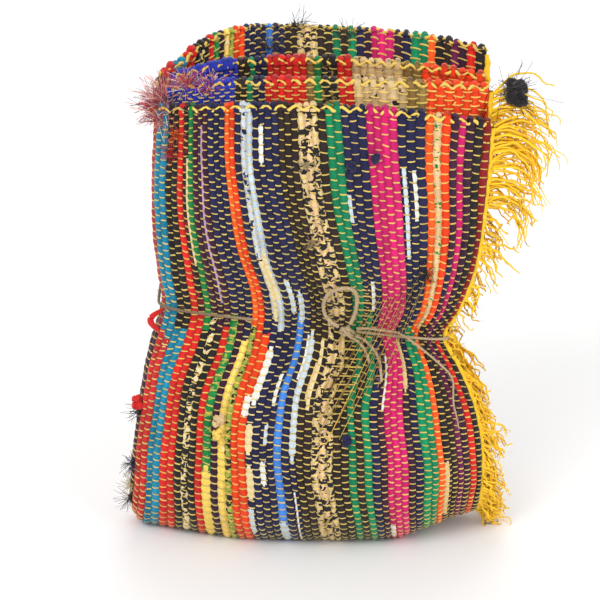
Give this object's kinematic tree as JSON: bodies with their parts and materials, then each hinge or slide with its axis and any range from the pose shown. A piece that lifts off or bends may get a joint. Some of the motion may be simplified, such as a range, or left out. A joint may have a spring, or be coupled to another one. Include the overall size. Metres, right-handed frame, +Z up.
{
  "type": "rag rug",
  "caption": "Striped cotton rag rug with yellow warp fringes, folded in layers, standing on its fold and tied round the waist with jute twine.",
  "frame": {"origin": "centre of the folded rug's box, on the surface that it stands on, fringe counted and loose twine ends left out", "axes": "+Z up, from the bottom fold to the woven edges; -Y the front, where the bow is; +X towards the fringed ends"},
  "size_m": [0.273, 0.1328, 0.3174],
  "materials": {
    "rag_weave": "woven cotton rag strips in many colours",
    "warp_fringe": "golden yellow cotton yarn",
    "jute_twine": "hairy two-ply jute"
  },
  "bodies": {
    "root": {"rug": "rag_weave", "fringe_outer": "warp_fringe", "fringe_inner": "warp_fringe", "twine_band": "jute_twine", "twine_bow": "jute_twine", "twine_knot": "jute_twine", "twine_tail_short": "jute_twine", "twine_tail_mid": "jute_twine", "twine_tail_long": "jute_twine"}
  },
  "joints": []
}
